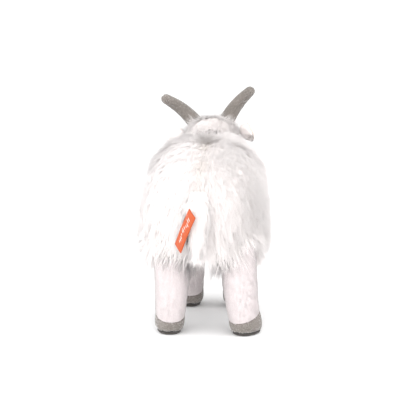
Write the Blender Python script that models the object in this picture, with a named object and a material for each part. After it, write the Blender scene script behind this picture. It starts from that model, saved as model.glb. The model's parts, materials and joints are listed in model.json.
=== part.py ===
"""A standing plush mountain goat, modelled as the pieces it is sewn and stuffed from.

Frame: metres, +Z up, with the origin on the ground under the middle of the toy. The toy faces -Y and
its right side is at -X. Below, it is laid out from tail to nose along its own +Y, with its right side
at its own +X, and one empty turns it half round. Every stuffed part is one closed form: the stuffing
fills the form, and the fabric pieces are cut from the form along its seams and thickened outwards.
"""

import math

import bmesh
import bpy
from mathutils import Matrix, Vector

# Fabrics: how far each one stands out from the stuffing, and the room left at each seam and joint.
GAP = 0.0003
SEAM = 0.0004
CLEARANCE = 0.0008
PLUSH = 0.0016
LONG_PILE = 0.0135
LINING = 0.0014

# Where the layout's origin stands, so that the whole toy is centred over the ground's origin.
TOY_PLACE = Vector((0, -0.0050, 0))

# Torso: a stuffed form with rounded ends.
TORSO_MIDDLE = Vector((0, -0.0320, 0.137))
TORSO_HALF = Vector((0.0565, 0.0995, 0.050))
TORSO_SQUARE = 2.5
TORSO_SECTION_SQUARE = 3.1
TORSO_RINGS = 12
TORSO_SIDES = 20
CHEST_NARROWING = 0.05
SHOULDER_RISE = 0.012
# The body widens below FLARE_TOP_Z, over FLARE_DEPTH, from narrower to wider by this share.
FLARE = 0.10
FLARE_TOP_Z = 0.160
FLARE_DEPTH = 0.055
BELLY_SEAM_Z = 0.101

# Legs: hip and shoulder pivots, and where each foot stands. Toe-out turns the hoof outwards.
LEG_PIVOT_Z = 0.097
LEG_TOP_RADIUS = 0.0195
LEG_SWING = math.radians(18)
LEG_SIDES = 12
LEGS = {
    "hind_left": {"pivot": (-0.031, -0.094), "foot": (-0.0345, -0.098), "toe_out": 14},
    "hind_right": {"pivot": (0.039, -0.094), "foot": (0.0475, -0.098), "toe_out": 36},
    "front_left": {"pivot": (-0.024, 0.026), "foot": (-0.0230, 0.026), "toe_out": 6},
    "front_right": {"pivot": (0.032, 0.026), "foot": (0.0330, 0.026), "toe_out": 6},
}
# Height above the ground, half width, half length and forward shift of the leg's stuffed form.
LEG_SECTIONS = (
    (0.080, 0.0186, 0.0192, 0.000),
    (0.060, 0.0176, 0.0190, 0.000),
    (0.040, 0.0164, 0.0184, 0.000),
    (0.028, 0.0156, 0.0180, 0.001),
    (0.020, 0.0156, 0.0186, 0.003),
    (0.012, 0.0158, 0.0196, 0.004),
    (0.007, 0.0152, 0.0190, 0.004),
    (0.003, 0.0125, 0.0164, 0.004),
)
HOOF_LINE_Z = 0.0210
HOOF_LINE_TILT = math.radians(18)
SOLE_TOP_Z = 0.0028
WALL_BOTTOM_Z = 0.0044

# Neck and head. The neck turns about NECK_PIVOT, and the head nods about HEAD_PIVOT.
NECK_PIVOT = Vector((0, 0.040, 0.161))
HEAD_PIVOT = Vector((0, 0.079, 0.187))
NECK_RADIUS = 0.0215
NECK_TURN = math.radians(20)
HEAD_NOD = math.radians(10)
HEAD_ROLL = math.radians(5.5)
HEAD_PITCH = math.radians(12)
# Distance ahead of the head pivot, half width, half height and height of the middle.
HEAD_SECTIONS = (
    (-0.0180, 0.0100, 0.0100, 0.0100),
    (-0.0150, 0.0190, 0.0180, 0.0095),
    (-0.0080, 0.0275, 0.0255, 0.0080),
    (0.0040, 0.0335, 0.0300, 0.0050),
    (0.0180, 0.0350, 0.0310, 0.0030),
    (0.0330, 0.0320, 0.0280, 0.0005),
    (0.0460, 0.0255, 0.0225, -0.0030),
    (0.0580, 0.0200, 0.0175, -0.0065),
    (0.0690, 0.0175, 0.0150, -0.0090),
    (0.0765, 0.0145, 0.0125, -0.0100),
    (0.0808, 0.0085, 0.0075, -0.0105),
)
CROWN_HALF_WIDTH = 0.0125

EYE_RADIUS = 0.0052
EYE_PLACE = Vector((0.0283, 0.0385, 0.0085))
EYE_NORMAL = Vector((0.86, 0.42, 0.29)).normalized()
EYE_SEAT = 0.0008
EYE_DISH = 0.0003
SHANK_RADIUS = 0.0019
SHANK_LENGTH = 0.0080
WASHER_RADIUS = 0.0068
WASHER_FACES = (-0.0024, -0.0008)

# Horns: root and tip in the head's own frame, with how far the middle bows from the chord.
HORN_ROOT = Vector((0.0160, 0.0140, 0.0270))
HORN_TIP = Vector((0.0520, -0.0060, 0.0625))
HORN_BOW = Vector((-0.0015, 0.0050, 0.0035))
HORN_RADIUS = 0.0086
HORN_TIP_RADIUS = 0.0048
HORN_BEND = math.radians(8)
HORN_STATIONS = 7

# Ears: hinge line beside the head, and how far each one sweeps back in the toy's rest pose.
EAR_ROOT = Vector((0.0364, 0.0060, 0.0135))
EAR_LENGTH = 0.030
EAR_HALF_WIDTH = 0.0120
EARS = {"left": {"lift": 34, "sweep": 10, "twist": 0}, "right": {"lift": -10, "sweep": 60, "twist": 60}}
LAYER_GAP = 0.0013

TAIL_ROOT = Vector((0, -0.1395, 0.1640))
TAIL_WAY = Vector((0, -0.42, -1))
TAIL_CURL = 0.0175
TAIL_LENGTH = 0.066
TAIL_HALF_WIDTH = 0.0135
TAIL_PILE = 0.0050

LABEL_ROOT = Vector((-0.0075, -0.1592, 0.1490))
LABEL_ACROSS = Vector((0.47, -0.70, -0.53)).normalized()
LABEL_DOWN = Vector((-0.35, 0.41, -0.85)).normalized()
LABEL_WIDTH = 0.015
LABEL_LENGTH = 0.049
RIBBON = 0.0006

MATERIALS = {
    "long_pile_fur": {"colour": (0.87, 0.83, 0.81), "roughness": 0.95},
    "short_plush": {"colour": (0.84, 0.80, 0.79), "roughness": 0.90},
    "grey_plush": {"colour": (0.30, 0.27, 0.25), "roughness": 0.90},
    "ear_lining": {"colour": (0.83, 0.68, 0.60), "roughness": 0.90},
    "stuffing": {"colour": (0.90, 0.90, 0.88), "roughness": 1.00},
    "eye_plastic": {"colour": (0.012, 0.010, 0.010), "roughness": 0.12},
    "washer_plastic": {"colour": (0.75, 0.75, 0.75), "roughness": 0.45},
    "embroidery": {"colour": (0.33, 0.20, 0.18), "roughness": 0.60},
    "label_ribbon": {"colour": (0.90, 0.16, 0.04), "roughness": 0.55},
}


# ---- scene helpers ----


def clear_scene():
    for obj in list(bpy.data.objects):
        bpy.data.objects.remove(obj, do_unlink=True)


def material(name):
    """The material of that name, made the first time it is asked for."""
    found = bpy.data.materials.get(name)
    if found:
        return found
    found = bpy.data.materials.new(name)
    found.use_nodes = True
    shader = found.node_tree.nodes["Principled BSDF"]
    shader.inputs["Base Color"].default_value = (*MATERIALS[name]["colour"], 1)
    shader.inputs["Roughness"].default_value = MATERIALS[name]["roughness"]
    shader.inputs["Metallic"].default_value = 0.0
    return found


def pivot(name, place, parent=None, turn=None):
    """An empty that a moving part is built around, so that its joint runs through its origin."""
    empty = bpy.data.objects.new(name, None)
    empty.empty_display_size = 0.01
    bpy.context.scene.collection.objects.link(empty)
    empty.parent = parent
    empty.matrix_basis = Matrix.Translation(place) @ (turn or Matrix.Identity(4))
    return empty


def add_object(name, mesh, parent=None, finish=None):
    """A node of the toy, or a cutter where it has no finish."""
    obj = bpy.data.objects.new(name, mesh)
    bpy.context.scene.collection.objects.link(obj)
    obj.parent = parent
    if finish:
        mesh.materials.clear()
        mesh.materials.append(material(finish))
        mesh.shade_smooth()
    else:
        obj.hide_render = True
        obj.display_type = "WIRE"
    return obj


def mesh_from(bm, name):
    bmesh.ops.recalc_face_normals(bm, faces=bm.faces)
    if bm.calc_volume(signed=True) < 0:
        bmesh.ops.reverse_faces(bm, faces=bm.faces)
    mesh = bpy.data.meshes.new(name)
    bm.to_mesh(mesh)
    bm.free()
    return mesh


# ---- shapes ----


def power(value, exponent):
    return math.copysign(abs(value) ** exponent, value)


def ring(middle, across, up, count, square=2.0):
    """A rounded outline about middle, reaching across and up, squarer as square rises above 2."""
    points = []
    for step in range(count):
        angle = 2 * math.pi * step / count
        side = power(math.cos(angle), 2 / square)
        rise = power(math.sin(angle), 2 / square)
        points.append(middle + across * side + up * rise)
    return points


def loft(name, rings, hollow=False):
    """A closed mesh through the rings: with a flat face at each end, or hollow like a washer."""
    bm = bmesh.new()
    loops = [[bm.verts.new(point) for point in points] for points in rings]
    following = loops[1:] + loops[:1] if hollow else loops[1:]
    for one, two in zip(loops, following):
        for index in range(len(one)):
            bm.faces.new((one[index - 1], one[index], two[index], two[index - 1]))
    if not hollow:
        bm.faces.new(loops[0])
        bm.faces.new(loops[-1])
    # Flat triangles, so that a panel cut from this form still meets the stuffing everywhere.
    bmesh.ops.triangulate(bm, faces=bm.faces)
    return mesh_from(bm, name)


def lathe(name, profile, hollow=False, count=12):
    """A closed mesh turned about local Z through (radius, height) points."""
    rings = []
    for radius, height in profile:
        middle = Vector((0, 0, height))
        rings.append(ring(middle, Vector((radius, 0, 0)), Vector((0, radius, 0)), count))
    return loft(name, rings, hollow)


def ball_steps(radius, count):
    """(height, radius) from near the top of a ball down to its equator, top first."""
    for step in range(count):
        angle = math.radians(90) * (step + 0.45) / count
        yield radius * math.cos(angle), radius * math.sin(angle)


def hull_of_balls(name, balls, parent=None):
    """A convex cutter around balls given as (middle, radius): the room that a swinging part sweeps.

    Each ball is drawn a little large, because the flats of an icosphere cut inside its radius.
    """
    ball = bmesh.new()
    bmesh.ops.create_icosphere(ball, subdivisions=2, radius=1.07)
    bm = bmesh.new()
    for middle, radius in balls:
        for vertex in ball.verts:
            bm.verts.new(middle + vertex.co * radius)
    ball.free()
    hull = bmesh.ops.convex_hull(bm, input=bm.verts[:])
    inside = [item for item in hull["geom_interior"] if isinstance(item, bmesh.types.BMVert)]
    bmesh.ops.delete(bm, geom=inside, context="VERTS")
    return add_object(name, mesh_from(bm, name), parent)


# ---- making pieces from a form ----


def add_cut(obj, cutter):
    cut = obj.modifiers.new("cut by " + cutter.name, "BOOLEAN")
    cut.operation = "DIFFERENCE"
    cut.solver = "EXACT"
    cut.object = cutter


def stuffing(name, form, parent=None, cutters=()):
    """The filling of a form, a seam's gap inside the fabric."""
    obj = add_object(name, form.copy(), parent, "stuffing")
    shrink = obj.modifiers.new("inside the fabric", "DISPLACE")
    shrink.strength = -GAP
    shrink.mid_level = 0
    for cutter in cutters:
        add_cut(obj, cutter)
    return obj


def panel(name, form, planes, thick, finish, parent=None, cutters=(), pile=None, lift=0.0):
    """A fabric piece: the part of the form on the inner side of every seam plane, thickened outwards.

    A plane is (point, direction into the piece). pile gives the share of thick at a point.
    """
    bm = bmesh.new()
    bm.from_mesh(form)
    for point, inwards in planes:
        everything = bm.verts[:] + bm.edges[:] + bm.faces[:]
        direction = Vector(inwards).normalized()
        bmesh.ops.bisect_plane(
            bm,
            geom=everything,
            dist=1e-6,
            plane_co=Vector(point) + direction * SEAM,
            plane_no=direction,
            clear_inner=True,
        )
    mesh = bpy.data.meshes.new(name)
    bm.to_mesh(mesh)
    bm.free()
    obj = add_object(name, mesh, parent, finish)
    if lift:
        raise_it = obj.modifiers.new("over the fabric", "DISPLACE")
        raise_it.strength = lift
        raise_it.mid_level = 0
    cloth = obj.modifiers.new("cloth", "SOLIDIFY")
    cloth.thickness = thick
    cloth.offset = 1
    cloth.use_even_offset = True
    if pile:
        depth = obj.vertex_groups.new(name="pile depth")
        for vertex in mesh.vertices:
            depth.add([vertex.index], pile(vertex.co, vertex.normal), "REPLACE")
        cloth.vertex_group = depth.name
    for cutter in cutters:
        add_cut(obj, cutter)
    return obj


# ---- torso ----


def torso_form():
    """The stuffed body: rounded at both ends, higher at the shoulders and narrower at the chest."""
    rings = []
    for step in range(TORSO_RINGS):
        angle = math.pi * (step + 0.5) / TORSO_RINGS
        along = power(-math.cos(angle), 2 / TORSO_SQUARE)
        girth = math.sin(angle) ** (2 / TORSO_SQUARE)
        width = girth * (1 - CHEST_NARROWING * max(along, 0))
        hump = SHOULDER_RISE / 2 * girth * math.exp(-(((along - 0.35) / 0.5) ** 2))
        middle = TORSO_MIDDLE + Vector((0, TORSO_HALF.y * along, hump))
        across = Vector((TORSO_HALF.x * width, 0, 0))
        up = Vector((0, 0, TORSO_HALF.z * girth + hump))
        points = ring(middle, across, up, TORSO_SIDES, TORSO_SECTION_SQUARE)
        for point in points:
            low = min(1, max(0, (FLARE_TOP_Z - point.z) / FLARE_DEPTH))
            point.x *= 1 + FLARE * (2 * low - 1)
        rings.append(points)
    return loft("torso_form", rings)


def torso_pile(place, normal):
    """The pile is deepest on the flanks, and flatter along the back, the belly and under the tail."""
    flank = abs(normal.x)
    share = 0.62 + 0.38 * flank
    if normal.y < -0.6:
        share -= 0.12 * (1 - flank)
    return share if place.z > BELLY_SEAM_Z else min(share, 0.55)


def build_torso(toy):
    form = torso_form()
    cutters = [leg_room(name, toy) for name in LEGS] + [neck_room(toy)]
    spine = (0, 0, 0)
    belly = (0, 0, BELLY_SEAM_Z)
    stuffing("torso_stuffing", form, toy, cutters)
    sides = {"left": (-1, 0, 0), "right": (1, 0, 0)}
    for side, outwards in sides.items():
        planes = [(spine, outwards), (belly, (0, 0, 1))]
        panel(f"torso_fur_{side}", form, planes, LONG_PILE, "long_pile_fur", toy, cutters, torso_pile)
    belly_plane = [(belly, (0, 0, -1))]
    panel("belly_panel", form, belly_plane, LONG_PILE, "long_pile_fur", toy, cutters, torso_pile)


# ---- legs ----


def leg_room(name, toy):
    """The room a leg needs in the torso as it swings about its pivot."""
    x, y = LEGS[name]["pivot"]
    top = Vector((x, y, LEG_PIVOT_Z))
    radius = LEG_TOP_RADIUS + PLUSH + CLEARANCE
    reach = 0.045
    balls = [(top, radius)]
    for swing in (-LEG_SWING, LEG_SWING):
        way = Vector((0, math.sin(swing), -math.cos(swing)))
        balls.append((top + way * reach, radius))
    return hull_of_balls(f"room_for_{name}", balls, toy)


def leg_form(name):
    """The stuffed leg and foot, about its pivot: a ball at the top, and a flat sole at the bottom."""
    leg = LEGS[name]
    shift = Vector(leg["foot"]) - Vector(leg["pivot"])
    outward = math.copysign(1, leg["pivot"][0])
    rings = []
    for height, radius in ball_steps(LEG_TOP_RADIUS, 3):
        middle = Vector((0, 0, height))
        rings.append(ring(middle, Vector((radius, 0, 0)), Vector((0, radius, 0)), LEG_SIDES))
    radius = LEG_TOP_RADIUS
    rings.append(ring(Vector(), Vector((radius, 0, 0)), Vector((0, radius, 0)), LEG_SIDES))
    for z, half_width, half_length, ahead in LEG_SECTIONS:
        drop = (LEG_PIVOT_Z - z) / LEG_PIVOT_Z
        twist = min(1, drop * LEG_PIVOT_Z / (LEG_PIVOT_Z - HOOF_LINE_Z))
        turn = Matrix.Rotation(-outward * math.radians(leg["toe_out"]) * twist, 3, "Z")
        forward = turn @ Vector((0, 1, 0))
        middle = Vector((shift.x * drop, shift.y * drop, z - LEG_PIVOT_Z)) + forward * ahead
        across = turn @ Vector((half_width, 0, 0))
        rings.append(ring(middle, across, forward * half_length, LEG_SIDES, 2.2))
    return loft(f"leg_form_{name}", rings)


def build_leg(name, toy):
    leg = LEGS[name]
    x, y = leg["pivot"]
    hip = pivot(f"pivot_leg_{name}", (x, y, LEG_PIVOT_Z), toy)
    form = leg_form(name)
    shift = Vector(leg["foot"]) - Vector(leg["pivot"])
    outward = math.copysign(1, x)
    turn = Matrix.Rotation(-outward * math.radians(leg["toe_out"]), 3, "Z")
    foot = Vector((shift.x, shift.y, -LEG_PIVOT_Z))

    # The hoof line rises from the heel to the toe. The side seams run down the front and back.
    hoof_up = turn @ Vector((0, -math.sin(HOOF_LINE_TILT), math.cos(HOOF_LINE_TILT)))
    hoof_middle = foot + Vector((0, 0, HOOF_LINE_Z))
    floor_middle = foot + Vector((0, 0, WALL_BOTTOM_Z))
    down_leg = foot.normalized()
    seam_out = Vector((outward, 0, -outward * down_leg.x / down_leg.z)).normalized()
    hoof_out = turn @ Vector((outward, 0, 0))

    stuffing(f"leg_{name}_stuffing", form, hip)
    for side, sign in (("outer", 1), ("inner", -1)):
        skin = [(hoof_middle, hoof_up), ((0, 0, 0), seam_out * sign)]
        panel(f"leg_{name}_{side}", form, skin, PLUSH, "short_plush", hip)
        wall = [(hoof_middle, -hoof_up), (floor_middle, (0, 0, 1)), (foot, hoof_out * sign)]
        panel(f"hoof_{name}_{side}", form, wall, PLUSH, "grey_plush", hip)

    _, half_width, half_length, ahead = LEG_SECTIONS[-1]
    rings = []
    for z, share in ((0, 0.90), (0.0010, 1.02), (SOLE_TOP_Z, 1.08)):
        middle = foot + turn @ Vector((0, ahead, 0)) + Vector((0, 0, z))
        across = turn @ Vector((half_width * share, 0, 0))
        along = turn @ Vector((0, half_length * share, 0))
        rings.append(ring(middle, across, along, LEG_SIDES, 2.2))
    add_object(f"hoof_{name}_sole", loft(f"sole_{name}", rings), hip, "grey_plush")


# ---- neck and head ----


def neck_room(toy):
    """The room the neck needs in the torso as it turns about the upright axis."""
    radius = NECK_RADIUS + PLUSH + CLEARANCE
    along = (HEAD_PIVOT - NECK_PIVOT).normalized()
    balls = [(NECK_PIVOT, radius)]
    for turn in (-NECK_TURN, 0, NECK_TURN):
        way = Matrix.Rotation(turn, 3, "Z") @ along
        balls.append((NECK_PIVOT + way * 0.055, radius))
    return hull_of_balls("room_for_neck", balls, toy)


def build_neck(toy):
    """A short stuffed column with a ball at each end: one in the torso, one in the head."""
    base = pivot("pivot_neck", NECK_PIVOT, toy)
    along = HEAD_PIVOT - NECK_PIVOT
    axis = along.normalized()
    across = Vector((1, 0, 0))
    up = axis.cross(across)

    def around(middle, radius):
        return ring(middle, across * radius, up * radius, 16)

    lower = [around(-axis * height, radius) for height, radius in ball_steps(NECK_RADIUS, 3)]
    upper = [around(along + axis * height, radius) for height, radius in ball_steps(NECK_RADIUS, 3)]
    column = [around(along * share, NECK_RADIUS) for share in (0, 1)]
    form = loft("neck_form", lower + column + upper[::-1])
    stuffing("neck_stuffing", form, base)
    for side, outwards in (("left", (-1, 0, 0)), ("right", (1, 0, 0))):
        panel(f"neck_fur_{side}", form, [((0, 0, 0), outwards)], PLUSH, "long_pile_fur", base)


def head_form():
    rings = []
    for ahead, half_width, half_height, rise in HEAD_SECTIONS:
        middle = Vector((0, ahead, rise))
        across, up = Vector((half_width, 0, 0)), Vector((0, 0, half_height))
        rings.append(ring(middle, across, up, 20, 2.15))
    return loft("head_form", rings)


def eye_turn(side):
    """A frame at the eye's place, with local Z pointing out of the head."""
    mirror = Vector((side, 1, 1))
    out = EYE_NORMAL * mirror
    return Matrix.Translation(EYE_PLACE * mirror) @ out.to_track_quat("Z", "Y").to_matrix().to_4x4()


def build_eye(name, side, head):
    """A safety eye: a dome on a shank, held from inside by a washer."""
    eye_frame = eye_turn(side)
    dome = []
    for step in range(1, 5):
        angle = math.radians(90) * step / 4
        dome.append((EYE_RADIUS * math.sin(angle), EYE_SEAT + 0.8 * EYE_RADIUS * math.cos(angle)))
    shank = [(SHANK_RADIUS, EYE_SEAT + EYE_DISH), (SHANK_RADIUS, -SHANK_LENGTH)]
    eye = add_object(f"eye_{name}", lathe(f"eye_{name}", dome + shank), head, "eye_plastic")
    eye.matrix_basis = eye_frame
    eye.data.set_sharp_from_angle(angle=math.radians(40))

    low, high = WASHER_FACES
    hole = SHANK_RADIUS + GAP
    section = [(hole, low), (WASHER_RADIUS, low), (WASHER_RADIUS, high), (hole, high)]
    mesh = lathe(f"eye_washer_{name}", section, hollow=True)
    washer = add_object(f"eye_washer_{name}", mesh, head, "washer_plastic")
    washer.matrix_basis = eye_frame
    washer.data.set_sharp_from_angle(angle=math.radians(40))

    # One cutter makes the room for all of it: the shank, the washer's pocket and the dome.
    shank_room, washer_room, dome_room = SHANK_RADIUS + 2 * GAP, WASHER_RADIUS + GAP, EYE_RADIUS + 2 * GAP
    profile = [
        (shank_room, -SHANK_LENGTH - GAP),
        (shank_room, low - 2 * GAP),
        (washer_room, low - GAP),
        (washer_room, EYE_SEAT - 2 * GAP),
        (dome_room, EYE_SEAT - GAP),
        (dome_room, 0.009),
    ]
    cutter = add_object(f"room_for_eye_{name}", lathe(f"room_for_eye_{name}", profile), head)
    cutter.matrix_basis = eye_frame
    return cutter


def horn_middle(share, side):
    """A point down the middle of a horn, in the head's frame."""
    mirror = Vector((side, 1, 1))
    chord = HORN_ROOT.lerp(HORN_TIP, share)
    return (chord + HORN_BOW * math.sin(math.pi * share)) * mirror


def build_horn(name, side, head):
    """A curved stuffed horn of two plush pieces. Its root is a ball in a hollow of the head."""
    start = horn_middle(0, side)
    root = pivot(f"pivot_horn_{name}", start, head)
    chord = horn_middle(1, side) - start
    bow = HORN_BOW * Vector((side, 1, 1))
    seam_facing = (chord.cross(bow) * side).normalized()
    rings = []
    for step in range(HORN_STATIONS):
        share = step / (HORN_STATIONS - 1)
        middle = horn_middle(share, side) - start
        ahead = horn_middle(min(share + 0.05, 1), side) - horn_middle(max(share - 0.05, 0), side)
        tangent = ahead.normalized()
        across = (seam_facing - tangent * tangent.dot(seam_facing)).normalized()
        up = tangent.cross(across)
        radius = HORN_RADIUS + (HORN_TIP_RADIUS - HORN_RADIUS) * share**1.3
        caps = [(height, girth) for height, girth in ball_steps(radius, 2)]
        if step == 0:
            rings += [ring(-tangent * height, across * girth, up * girth, 10) for height, girth in caps]
        rings.append(ring(middle, across * radius, up * radius, 10))
        if step == HORN_STATIONS - 1:
            for height, girth in reversed(caps):
                rings.append(ring(middle + tangent * height, across * girth, up * girth, 10))
    form = loft(f"horn_form_{name}", rings)
    stuffing(f"horn_{name}_stuffing", form, root)
    for half, facing in (("front", seam_facing), ("back", -seam_facing)):
        panel(f"horn_{name}_{half}", form, [((0, 0, 0), facing)], PLUSH, "grey_plush", root)

    reach = horn_middle(0.6, side) - start
    radius = HORN_RADIUS + PLUSH + CLEARANCE
    balls = [(start, radius)]
    for bend in (-HORN_BEND, HORN_BEND):
        balls.append((start + Matrix.Rotation(bend, 3, "Y") @ reach, radius))
    return hull_of_balls(f"room_for_horn_{name}", balls, head)


def leaf(name, length, half_width, cup, drop, rows=6, columns=4):
    """A cupped leaf that grows along local +X from the origin, with its width along Y.

    cup is how far its edges rise, and drop how far it curves down by its tip.
    """
    bm = bmesh.new()
    bmesh.ops.create_grid(bm, x_segments=rows, y_segments=columns, size=1)
    for vertex in bm.verts:
        along = (vertex.co.x + 1) / 2
        side = vertex.co.y
        girth = 0.62 + 0.38 * math.sin(math.pi * min(1, along * 1.15))
        girth *= math.sqrt(max(0.03, 1 - along**3.2))
        x = length * along * (1 - 0.08 * side**2)
        y = half_width * girth * side
        z = cup * side**2 * math.sin(math.pi * (0.15 + 0.75 * along)) - drop * along**2
        vertex.co = (x, y, z)
    bmesh.ops.triangulate(bm, faces=bm.faces)
    mesh = mesh_from(bm, name)
    if mesh.polygons[0].normal.z < 0:
        mesh.flip_normals()
    return mesh


def sheet_object(name, mesh, thick, offset, finish, parent):
    obj = add_object(name, mesh, parent, finish)
    cloth = obj.modifiers.new("cloth", "SOLIDIFY")
    cloth.thickness = thick
    cloth.offset = offset
    cloth.use_even_offset = True
    return obj


def axes(along, outwards):
    """A turn whose local X runs along, and whose local Z points outwards as nearly as it can."""
    x_axis = Vector(along).normalized()
    z_axis = (Vector(outwards) - x_axis * x_axis.dot(outwards)).normalized()
    return Matrix((x_axis, z_axis.cross(x_axis), z_axis)).transposed().to_4x4()


def ear_turn(name, side):
    """Local X runs out along the ear, and local Z out of its back."""
    lift, sweep, twist = (math.radians(EARS[name][key]) for key in ("lift", "sweep", "twist"))
    flat = math.cos(lift)
    out = Vector((side * math.cos(sweep) * flat, -math.sin(sweep) * flat, math.sin(lift)))
    return axes(out, Vector((0, -1, 0.25))) @ Matrix.Rotation(twist * side, 4, "X")


def build_ear(name, side, head):
    """An ear of two layers, plush outside and lining inside, hinged where it is sewn to the head."""
    place = EAR_ROOT * Vector((side, 1, 1))
    root = pivot(f"pivot_ear_{name}", place, head, ear_turn(name, side))
    shape = leaf(f"ear_form_{name}", EAR_LENGTH, EAR_HALF_WIDTH, -0.0050, 0.0)
    sheet_object(f"ear_{name}_outer", shape.copy(), PLUSH, 1, "short_plush", root)
    inner = shape.copy()
    inner.transform(Matrix.Translation((0, 0, -LAYER_GAP)))
    sheet_object(f"ear_{name}_lining", inner, LINING, -1, "ear_lining", root)


def build_beard(head):
    """A tuft of long pile sewn in under the chin."""
    rings = []
    for drop, half_width, half_depth, back in (
        (0.0000, 0.0062, 0.0062, 0.0000),
        (0.0060, 0.0072, 0.0066, 0.0006),
        (0.0130, 0.0060, 0.0055, 0.0016),
        (0.0200, 0.0040, 0.0038, 0.0030),
        (0.0250, 0.0016, 0.0016, 0.0042),
    ):
        middle = Vector((0, 0.0600 - back, -0.0272 - drop))
        rings.append(ring(middle, Vector((half_width, 0, 0)), Vector((0, half_depth, 0)), 10))
    add_object("beard", loft("beard", rings), head, "long_pile_fur")


def build_head(toy):
    turn = Matrix.Rotation(-HEAD_ROLL, 4, "Y") @ Matrix.Rotation(-HEAD_PITCH, 4, "X")
    head = pivot("pivot_head", HEAD_PIVOT, toy, turn)

    # The neck enters from behind and below, and the head nods over it.
    radius = NECK_RADIUS + PLUSH + CLEARANCE
    to_neck = turn.inverted().to_3x3() @ (NECK_PIVOT - HEAD_PIVOT).normalized()
    nod_axis = turn.inverted().to_3x3() @ Vector((1, 0, 0))
    balls = [(Vector(), radius)]
    for nod in (-HEAD_NOD, HEAD_NOD):
        balls.append((Matrix.Rotation(nod, 3, nod_axis) @ to_neck * 0.050, radius))
    neck_cut = hull_of_balls("room_for_neck_in_head", balls, head)

    eyes = {name: build_eye(name, side, head) for name, side in (("left", -1), ("right", 1))}
    horns = {name: build_horn(name, side, head) for name, side in (("left", -1), ("right", 1))}
    form = head_form()
    stuffing("head_stuffing", form, head, [neck_cut, *eyes.values(), *horns.values()])

    nose_tip = Vector((0, HEAD_SECTIONS[-1][0], HEAD_SECTIONS[-1][3]))
    right_of, left_of = ((CROWN_HALF_WIDTH, 0, 0), (1, 0, 0)), ((-CROWN_HALF_WIDTH, 0, 0), (-1, 0, 0))
    between = [((CROWN_HALF_WIDTH, 0, 0), (-1, 0, 0)), ((-CROWN_HALF_WIDTH, 0, 0), (1, 0, 0))]
    horn_cuts = list(horns.values())
    crown = between + [(nose_tip, (0, 0.05, 1))]
    chin = between + [(nose_tip, (0, -0.05, -1))]
    panel("head_crown_panel", form, crown, PLUSH, "short_plush", head, [neck_cut, *horn_cuts])
    panel("chin_panel", form, chin, PLUSH, "short_plush", head, [neck_cut])
    for name, plane in (("left", left_of), ("right", right_of)):
        cuts = [neck_cut, eyes[name], horns[name]]
        panel(f"head_side_{name}", form, [plane], PLUSH, "short_plush", head, cuts)

    # Embroidery stands on top of the plush: a three-sided nose, and a line under it.
    over = PLUSH + GAP
    nose_foot = (0, 0, nose_tip.z - 0.0015)
    nose = [
        ((0, 0.0750, 0), (0, 1, 0)),
        (nose_foot, (0.8, 0, 0.6)),
        (nose_foot, (-0.8, 0, 0.6)),
        ((0, 0, nose_tip.z + 0.0075), (0, 0, -1)),
    ]
    panel("nose_patch", form, nose, 0.0010, "embroidery", head, lift=over)
    line = 0.0012
    mouth = [
        ((line, 0, 0), (-1, 0, 0)),
        ((-line, 0, 0), (1, 0, 0)),
        ((0, 0.0640, 0), (0, 1, 0)),
        ((0, 0, nose_tip.z - 0.0030), (0, 0, -1)),
    ]
    panel("mouth_stitch", form, mouth, 0.0008, "embroidery", head, lift=over)
    for name, side in (("left", -1), ("right", 1)):
        build_ear(name, side, head)
    build_beard(head)


# ---- tail and label ----


def build_tail(toy):
    """A furred flap that hangs over the rump, hinged at its top edge."""
    root = pivot("pivot_tail", TAIL_ROOT, toy, axes(TAIL_WAY, (0, -1, 0)))
    shape = leaf("tail_form", TAIL_LENGTH, TAIL_HALF_WIDTH, -0.0030, TAIL_CURL, rows=7)
    sheet_object("tail_fur", shape.copy(), TAIL_PILE, 1, "long_pile_fur", root)
    under = shape.copy()
    under.transform(Matrix.Translation((0, 0, -2 * LAYER_GAP)))
    sheet_object("tail_lining", under, LINING, -1, "short_plush", root)
    return root


def build_label(tail):
    """A plain woven ribbon folded into a loop, sewn in by its short edge beside the tail."""
    across = LABEL_ACROSS
    down = (LABEL_DOWN - across * LABEL_DOWN.dot(across)).normalized()
    face = across.cross(down)
    hinge = Matrix.Translation(LABEL_ROOT) @ Matrix((across, down, face)).transposed().to_4x4()
    root = pivot("pivot_label", (0, 0, 0), tail, tail.matrix_basis.inverted() @ hinge)
    half_gap = 0.0008
    profile = [(0, half_gap), (LABEL_LENGTH - half_gap, half_gap)]
    for step in range(1, 4):
        angle = math.radians(180) * step / 4
        profile.append((LABEL_LENGTH - half_gap + half_gap * math.sin(angle), half_gap * math.cos(angle)))
    profile += [(LABEL_LENGTH - half_gap, -half_gap), (0, -half_gap)]
    bm = bmesh.new()
    corners = [bm.verts.new((0, along, height)) for along, height in profile]
    edges = [bm.edges.new(pair) for pair in zip(corners, corners[1:])]
    swept = bmesh.ops.extrude_edge_only(bm, edges=edges)["geom"]
    moved = [item for item in swept if isinstance(item, bmesh.types.BMVert)]
    bmesh.ops.translate(bm, verts=moved, vec=(LABEL_WIDTH, 0, 0))
    ribbon = sheet_object("label", mesh_from(bm, "label"), RIBBON, 1, "label_ribbon", root)
    ribbon.data.set_sharp_from_angle(angle=math.radians(30))


def main():
    clear_scene()
    toy = pivot("toy", TOY_PLACE, None, Matrix.Rotation(math.pi, 4, "Z"))
    build_torso(toy)
    for name in LEGS:
        build_leg(name, toy)
    build_neck(toy)
    build_head(toy)
    build_label(build_tail(toy))


main()
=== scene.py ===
import json
import math
import bpy
import bmesh
import numpy as np
from mathutils import Matrix, Vector
from mathutils.bvhtree import BVHTree
from mathutils.kdtree import KDTree

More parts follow.
